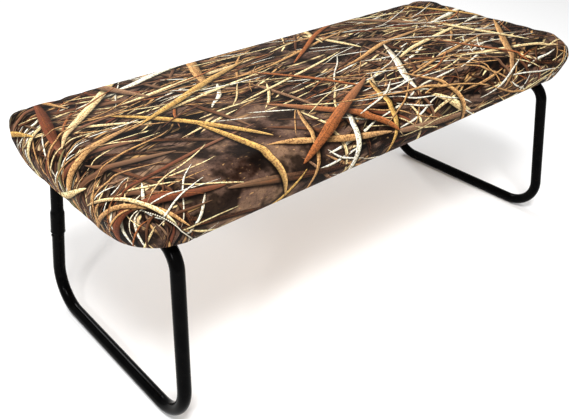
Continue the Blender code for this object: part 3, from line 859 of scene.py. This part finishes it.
def shape_cushion(piece):
    """What sewing does to the cushion: a crown, the darts' grooves and tucks, and soft waves at the hem."""
    points = coordinates(piece.data)
    normals = coordinates(piece.data, "normal")
    height = (points[:, 2] - SEAT_BOTTOM) / (SEAT_TOP - SEAT_BOTTOM)
    span_x = points[:, 0] / HALF_LENGTH
    span_y = points[:, 1] / HALF_DEPTH
    crown = CROWN_HEIGHT * (1 - span_x**2) * (1 - span_y**2) * smooth_step(height, 0.85, 1.0)
    points[:, 2] += crown
    place, beside = dart_place(points)
    inside = on_dart(place, -0.004, 0.002, 0.010, 0.010) * (points[:, 2] > SEAT_BOTTOM + 0.002)
    groove = -DART_GROOVE * np.exp(-((beside / DART_GROOVE_WIDTH) ** 2))
    tuck = TUCK_HEIGHT * np.exp(-(((np.abs(beside) - TUCK_PLACE) / TUCK_WIDTH) ** 2))
    around = np.arctan2(points[:, 1] * 2.2, points[:, 0])
    waves = np.sin(around * 41.0) * 0.6 + np.sin(around * 23.0 + 1.3) * 0.9
    low = np.exp(-(((height - 0.16) / 0.16) ** 2)) * (height > 0.03)
    points += normals * ((groove + tuck) * inside + waves * HEM_WAVE * low)[:, None]
    set_coordinates(piece.data, points)


def refine_darts(piece):
    """Split the mesh finely along the darts so that their grooves are real shape."""
    bm = bmesh.new()
    bm.from_mesh(piece.data)
    for reach in (0.014, 0.007):
        points = np.array([vertex.co for vertex in bm.verts])
        place, beside = dart_place(points)
        near = (np.abs(beside) < reach) & (place > -0.012) & (place < DART_LENGTH + 0.012)
        near &= points[:, 2] > SEAT_BOTTOM + 0.001
        edges = [edge for edge in bm.edges if near[edge.verts[0].index] and near[edge.verts[1].index]]
        bmesh.ops.subdivide_edges(bm, edges=edges, cuts=1, use_grid_fill=True, smooth=0.0)
        bm.verts.index_update()
    bm.to_mesh(piece.data)
    bm.free()


def open_underside(piece):
    """Cut away the cover below the board, inside its turned-under edge."""
    bm = bmesh.new()
    bm.from_mesh(piece.data)
    points = np.array([vertex.co for vertex in bm.verts])
    inset, _ = outline_distance(points)
    doomed = (points[:, 2] < SEAT_BOTTOM + 0.003) & (inset > SIDE_INSET + HEM_WIDTH)
    bmesh.ops.delete(bm, geom=[vertex for vertex, gone in zip(bm.verts[:], doomed) if gone], context="VERTS")
    bm.to_mesh(piece.data)
    bm.free()


def subdivide(piece):
    """Round a mesh with one level of subdivision, applied."""
    modifier = piece.modifiers.new("round", "SUBSURF")
    modifier.levels = 1
    modifier.render_levels = 1
    freeze_modifiers(piece)


def make_foam(cushion_mesh, material):
    """The foam: the cushion's own form, a little smaller, cut flat where it lies on the board."""
    bm = bmesh.new()
    bm.from_mesh(cushion_mesh)
    bm.normal_update()
    for vertex in bm.verts:
        vertex.co -= vertex.normal * FOAM_CLEARANCE
    level = Vector((0, 0, board_high.z + BOARD_CLEARANCE))
    geometry = bm.verts[:] + bm.edges[:] + bm.faces[:]
    upright = Vector((0, 0, 1))
    cut = bmesh.ops.bisect_plane(bm, geom=geometry, plane_co=level, plane_no=upright, clear_inner=True)
    rim = [item for item in cut["geom_cut"] if isinstance(item, bmesh.types.BMEdge)]
    bmesh.ops.contextual_create(bm, geom=rim)
    foam = new_piece("foam_block", bm, material, smooth_angle=50)
    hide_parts("foam_pad")
    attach(foam, "seat")


def make_seat():
    """The upholstered cushion: simulated, sewn and printed, with the foam inside it."""
    cushion = make_cushion()
    swell(cushion)
    fit_to_seat(cushion)
    rough = cushion.data.copy()
    subdivide(cushion)
    refine_darts(cushion)
    shape_cushion(cushion)
    open_underside(cushion)
    thick = cushion.modifiers.new("cloth_thickness", "SOLIDIFY")
    thick.thickness = CLOTH_THICKNESS
    thick.offset = -1.0
    freeze_modifiers(cushion)
    upper, lower = unrolled(coordinates(cushion.data))
    place, beside = dart_place(coordinates(cushion.data))
    # Painted shade along each dart's seam, joined to the hem's painted shade in the flap place's third
    # number.
    inside = on_dart(place, 0.0, 0.0, 0.004, 0.006)
    shaded = 0.95 * inside * np.exp(-((beside / DART_SHADE_WIDTH) ** 4))
    lower[:, 2] = np.maximum(lower[:, 2], shaded)
    store_vectors(cushion.data, "cloth_place", upper)
    store_vectors(cushion.data, "flap_place_and_shade", lower)
    cushion.data.shade_smooth()
    cushion.data.materials.clear()
    cushion.data.materials.append(printed_fabric())
    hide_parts("seat_cover")
    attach(cushion, "seat")
    make_foam(rough, open_cell_foam())
    return cushion


def surface_finder(piece):
    """A function from a place on the unrolled cover to the point and normal on the cushion there."""
    mesh = piece.data
    points = coordinates(mesh)
    upper, _ = unrolled(points)
    faces = []
    flats = [Vector((u, v, 0.0)) for u, v, _ in upper]
    for polygon in mesh.polygons:
        low_enough = polygon.center.z < SEAT_BOTTOM + 0.001
        place = upper[polygon.vertices[0]]
        near_dart = abs(place[0]) > 0.40 and abs(place[1]) > 0.15
        outward = polygon.normal.dot(Vector((polygon.center.x, polygon.center.y, 0.12))) > 0
        if near_dart and outward and not low_enough:
            faces.append(list(polygon.vertices))
    finder = BVHTree.FromPolygons(flats, faces)

    def find(u, v):
        flat, _, index, _ = finder.find_nearest(Vector((u, v, 0.0)))
        corners = faces[index]
        weights = poly_3d_calc([flats[i] for i in corners], flat)
        point = Vector((0, 0, 0))
        normal = Vector((0, 0, 0))
        for weight, i in zip(weights, corners):
            point += Vector(points[i]) * weight
            normal += mesh.vertices[i].normal * weight
        return point, normal.normalized()

    return find


def add_stitch(bm, point, heading, normal, length, radius):
    """One rounded stitch lying along the seam."""
    side = heading.cross(normal).normalized()
    rings = []
    steps = 6
    for step in range(steps + 1):
        share = step / steps * 2 - 1
        girth = radius * (math.sqrt(max(1 - share**4, 0.0)) + 0.12)
        rise = radius * (0.7 * (1 - share**2) - 0.1)
        rings.append(circle(point + heading * (share * length / 2) + normal * rise, side, normal, girth, 8))
    skin_rings(bm, rings)


def make_staples(material):
    """The staples that hold the turned-under edge to the board."""
    bm = bmesh.new()
    outline = seat_ring(SIDE_INSET + HEM_WIDTH * 0.55, SEAT_BOTTOM)
    left_over = STAPLE_SPACING / 2
    draw = random.Random(5)
    down = Vector((0, 0, -1))
    for start, end in zip(outline, outline[1:] + outline[:1]):
        length = (end - start).length
        heading = (end - start).normalized()
        place = left_over
        while place < length:
            turn = Matrix.Rotation(draw.uniform(-STAPLE_SKEW, STAPLE_SKEW), 3, "Z")
            middle = start + heading * place + down * 0.0001
            add_stitch(bm, middle, turn @ heading, down, STAPLE_CROWN, STAPLE_WIRE)
            place += STAPLE_SPACING
        left_over = place - length
    staples = new_piece("seat_staples", bm, material, smooth_angle=60)
    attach(staples, "seat")


def make_dart_stitches(cushion, material):
    """A row of stitches along each of the four darts."""
    find = surface_finder(cushion)
    start = Vector(DART_START)
    end = Vector(DART_END)
    count = int((end - start).length / STITCH_PITCH)
    for side, sign_x in SIDES.items():
        for end_name, sign_y in (("front", -1), ("rear", 1)):
            bm = bmesh.new()
            for index in range(count):
                share = (index + 0.5) / count
                flat = start.lerp(end, share)
                ahead = start.lerp(end, share + 0.01)
                point, normal = find(flat.x * sign_x, flat.y * sign_y)
                following, _ = find(ahead.x * sign_x, ahead.y * sign_y)
                heading = (following - point).normalized()
                if point.z > SEAT_BOTTOM + 0.004:
                    add_stitch(bm, point + normal * 0.0002, heading, normal, STITCH_LENGTH, STITCH_RADIUS)
            stitches = new_piece(f"{side}_{end_name}_dart_stitches", bm, material, smooth_angle=60)
            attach(stitches, "seat")


# Legs

def upright_point(rise, sign=1):
    """A point on an upright's centre line, as (across, up) in the loop's plane."""
    return Vector((sign * (LOOP_WIDTH / 2 - rise * math.tan(TAPER)), rise))


def bend(before, corner, after, radius):
    """Points and directions round one bend of the centre line."""
    into = (corner - before).normalized()
    out = (after - corner).normalized()
    turn = into.angle_signed(out)
    start = corner - into * (radius * math.tan(abs(turn) / 2))
    side = Vector((-into.y, into.x)) * (-1 if turn > 0 else 1)
    centre = start + side * radius
    arm = start - centre
    points = []
    for step in range(BEND_STEPS + 1):
        angle = -turn * step / BEND_STEPS
        spin = Matrix.Rotation(angle, 2)
        points.append((centre + spin @ arm, spin @ into, TUBE_RADIUS))
    return points


def tube_stations():
    """Centre, heading and radius along the whole tube, from the spigot's end to inside the sleeve's lip."""
    lip = (SLEEVE_LIP_HEIGHT - TUBE_RADIUS) / math.cos(SPLAY)
    rise = (PIVOT_HEIGHT - TUBE_RADIUS) / math.cos(SPLAY)
    foot = [upright_point(0, 1), upright_point(0, -1)]
    top = [upright_point(rise, -1), upright_point(rise, 1)]
    down = (upright_point(0) - upright_point(lip)).normalized()
    taper_top = lip + SLEEVE_DEPTH + SLEEVE_TAPER
    stations = [(upright_point(lip + above), down, TUBE_RADIUS) for above in (SPIGOT_DEPTH, -0.02)]
    stations += bend(upright_point(lip), foot[0], foot[1], FOOT_BEND_RADIUS)
    stations += bend(foot[0], foot[1], top[0], FOOT_BEND_RADIUS)
    stations += bend(foot[1], top[0], top[1], TOP_BEND_RADIUS)
    stations += bend(top[0], top[1], upright_point(0, 1), TOP_BEND_RADIUS)
    taper_steps = 10
    for step in range(taper_steps + 1):
        share = step / taper_steps
        eased = share * share * (3 - 2 * share)
        radius = TUBE_RADIUS + (SLEEVE_RADIUS - TUBE_RADIUS) * eased
        stations.append((upright_point(taper_top - SLEEVE_TAPER * share), down, radius))
    lip_shape = (
        (0.0060, SLEEVE_RADIUS),
        (0.0040, SLEEVE_RADIUS + 0.00005),
        (0.0028, SLEEVE_RADIUS + 0.00030),
        (0.0016, SLEEVE_RADIUS + 0.00045),
        (0.0007, SLEEVE_RADIUS + 0.00035),
        (0.0001, SLEEVE_RADIUS - 0.00005),
        (0.0, SLEEVE_RADIUS - 0.0005),
        (0.0001, TUBE_RADIUS + 0.00035),
        (0.0080, TUBE_RADIUS + 0.00030),
    )
    stations += [(upright_point(lip + above), down, radius) for above, radius in lip_shape]
    return stations


def loop_to_world(sign, across, rise):
    """A point of the loop's plane, in the object's frame."""
    lean = FOOT_SPACING / 2 - rise * math.sin(SPLAY)
    return Vector((sign * lean, across, TUBE_RADIUS + rise * math.cos(SPLAY)))


def make_loop(side, sign, material):
    """One smooth bent tube with its swaged sleeve."""
    across = Vector((0, 1, 0))
    up = Vector((-sign * math.sin(SPLAY), 0, math.cos(SPLAY)))
    plane_normal = across.cross(up)
    rings = []
    for point, heading, radius in tube_stations():
        outward = across * -heading.y + up * heading.x
        centre = loop_to_world(sign, point.x, point.y)
        rings.append(circle(centre, outward, plane_normal, radius, TUBE_SIDES))
    bm = bmesh.new()
    skin_rings(bm, rings)
    loop = new_piece(f"{side}_tube_loop", bm, material, smooth_angle=50)
    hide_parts(f"{side}_leg_loop")
    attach(loop, f"{side}_leg")


def turned(bm, centre, axis, profile):
    """A turned solid from its (radius, reach) profile about an axis. A radius may change with the angle."""
    side = axis.orthogonal().normalized()
    other = axis.cross(side)
    rings = []
    for radius, reach in profile:
        ring = []
        for step in range(TURNED_SIDES):
            angle = 2 * math.pi * step / TURNED_SIDES
            here = radius(angle) if callable(radius) else radius
            ring.append(centre + axis * reach + (side * math.cos(angle) + other * math.sin(angle)) * here)
        rings.append(ring)
    skin_rings(bm, rings)


def hexagon(apothem):
    """A six-sided outline, as a radius that changes with the angle."""
    def radius(angle):
        return apothem / math.cos((angle + math.pi / 6) % (math.pi / 3) - math.pi / 6)
    return radius


def make_screws(material):
    """Pan-head socket screws in place of the plain ones, each with its hexagon recess."""
    down = Vector((0, 0, -1))
    screws = [name for name in frame["nodes"] if "_screw_" in name]
    for name in screws:
        low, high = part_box(name)
        head = (high.x - low.x) / 2 * HEAD_FIT
        middle = Vector(((low.x + high.x) / 2, (low.y + high.y) / 2, low.z))
        tall = high.z - low.z
        profile = [(SCREW_CORE * 0.7, -tall), (SCREW_CORE, THREAD_PITCH - tall)]
        for turn in range(int((tall - HEAD_HEIGHT) / THREAD_PITCH) - 1):
            reach = turn * THREAD_PITCH + 0.0010 - tall
            profile += [(SCREW_CORE, reach), (SCREW_CORE * THREAD_ROOT, reach + THREAD_PITCH / 2)]
        profile += [(SCREW_CORE, -HEAD_HEIGHT), (head, -HEAD_HEIGHT)]
        for step in range(6):
            angle = math.pi / 2 * step / 6
            rise = HEAD_HEIGHT * HEAD_SLOPE * (math.sin(angle) - 1)
            profile.append((head * (0.66 + 0.34 * math.cos(angle)), rise))
        profile += [(head * 0.58, 0.0), (hexagon(head * 0.42), -0.0001)]
        profile.append((hexagon(head * 0.40), -RECESS_DEPTH))
        bm = bmesh.new()
        turned(bm, middle, down, profile)
        screw = new_piece(name.replace("_screw_", "_pan_screw_"), bm, material, smooth_angle=35)
        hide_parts(name)
        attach(screw, "seat")


def make_rivets(material):
    """Smooth domed rivets in place of the plain ones."""
    for side, sign in SIDES.items():
        name = f"{side}_joint_rivet"
        axis = Vector((sign * math.cos(SPLAY), 0, math.sin(SPLAY)))
        points = [vertex.co.copy() for vertex in frame["nodes"][name].data.vertices]
        middle = sum(points, Vector()) / len(points)
        reach = [(point - middle).dot(axis) for point in points]
        seat = max(reach) - RIVET_HEAD_HEIGHT
        wide = RIVET_HEAD_RADIUS
        profile = [(RIVET_SHANK, min(reach)), (RIVET_SHANK, seat), (wide * 0.96, seat)]
        for step in range(8):
            angle = math.pi / 2 * step / 8
            rise = RIVET_HEAD_HEIGHT * (0.12 + 0.88 * math.sin(angle))
            profile.append((wide * math.cos(angle), seat + rise))
        bm = bmesh.new()
        turned(bm, middle, axis, profile)
        rivet = new_piece(f"{side}_domed_rivet", bm, material, smooth_angle=35)
        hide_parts(name)
        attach(rivet, f"{side}_leg")


def make_welds(material):
    """Rippled weld beads that join each stop tab to its leg's top bar."""
    for side, sign in SIDES.items():
        low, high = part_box(f"{side}_stop_tab")
        near = high.x if sign < 0 else low.x
        bm = bmesh.new()
        for start in (low.y + WELD_INSET, high.y - WELD_INSET - WELD_LENGTH):
            rings = []
            for step in range(WELD_STEPS + 1):
                share = step / WELD_STEPS
                round_end = math.sqrt(max(1 - (2 * share - 1) ** 8, 0.0)) + 0.05
                size = WELD_SIZE * round_end * (1 + 0.10 * math.sin(share * 2 * math.pi * WELD_RIPPLES))
                centre = Vector((near - sign * 0.0004, start + WELD_LENGTH * share, PIVOT_HEIGHT - WELD_DROP))
                rings.append(circle(centre, Vector((0.8, 0, 0)), Vector((0, 0, 1)), size, 12))
            skin_rings(bm, rings)
        weld = new_piece(f"{side}_tab_welds", bm, material, smooth_angle=70)
        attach(weld, f"{side}_leg")


def dress(material, *names):
    """Give CAD nodes a finished material."""
    for name in names:
        mesh = frame["nodes"][name].data
        mesh.materials.clear()
        mesh.materials.append(material)


def dress_fittings():
    """Materials for the fittings, and the finer screws, rivets, welds and staples. Gives the tubes' coat."""
    zinc = zinc_plate()
    plate = black_plate()
    liner = nylon()
    coat = powder_coat()
    dress(plywood(), "seat_board")
    for name in frame["nodes"]:
        if "_tnut_" in name:
            dress(zinc, name)
        elif name.endswith("_saddle") or name.endswith("_plate"):
            dress(plate, name)
        elif name.endswith("_liner"):
            dress(liner, name)
        elif name.endswith("_tab"):
            dress(coat, name)
    make_screws(zinc)
    make_rivets(coat)
    make_welds(coat)
    make_staples(zinc)
    return coat


# Studio

def make_floor():
    """A plain pale floor."""
    material, _ = principled("floor", 0.9, Base_Color=(0.90, 0.90, 0.90, 1.0))
    bm = bmesh.new()
    bmesh.ops.create_grid(bm, x_segments=1, y_segments=1, size=FLOOR_SIZE)
    floor = new_piece("floor", bm, material)


def make_studio():
    """Soft white surroundings, and square lights: a key above and in front, a fill and a rim."""
    world = bpy.data.worlds.new("studio")
    bpy.context.scene.world = world
    world.use_nodes = True
    background = world.node_tree.nodes["Background"]
    background.inputs["Color"].default_value = (1.0, 1.0, 1.0, 1.0)
    background.inputs["Strength"].default_value = WORLD_STRENGTH
    for name, place, target, size, power in LIGHTS:
        data = bpy.data.lights.new(name, "AREA")
        data.shape = "SQUARE"
        data.size = size
        data.energy = power
        light = put_in_scene(name, data)
        light.location = place
        light.rotation_euler = (Vector(target) - Vector(place)).to_track_quat("-Z", "Y").to_euler()
    view = bpy.context.scene.view_settings
    view.view_transform = "Standard"
    view.look = "None"


def make_camera():
    """A camera at the height of someone standing by the bench's front left corner."""
    reach = math.cos(CAMERA_PITCH)
    forward = Vector((math.sin(CAMERA_YAW) * reach, math.cos(CAMERA_YAW) * reach, -math.sin(CAMERA_PITCH)))
    level = Vector((math.cos(CAMERA_YAW), -math.sin(CAMERA_YAW), 0.0))
    down = forward.cross(level)
    right = level * math.cos(CAMERA_ROLL) + down * math.sin(CAMERA_ROLL)
    up = -(down * math.cos(CAMERA_ROLL) - level * math.sin(CAMERA_ROLL))
    data = bpy.data.cameras.new("camera")
    data.lens = CAMERA_LENS
    data.sensor_width = CAMERA_SENSOR
    camera = put_in_scene("camera", data)
    turn = Matrix((right, up, -forward)).transposed().to_4x4()
    camera.matrix_world = Matrix.Translation(CAMERA_PLACE) @ turn
    bpy.context.scene.camera = camera


make_camera()
make_studio()
make_floor()
coat = dress_fittings()
for side, sign in SIDES.items():
    make_loop(side, sign, coat)
cushion = make_seat()
make_dart_stitches(cushion, thread_material())
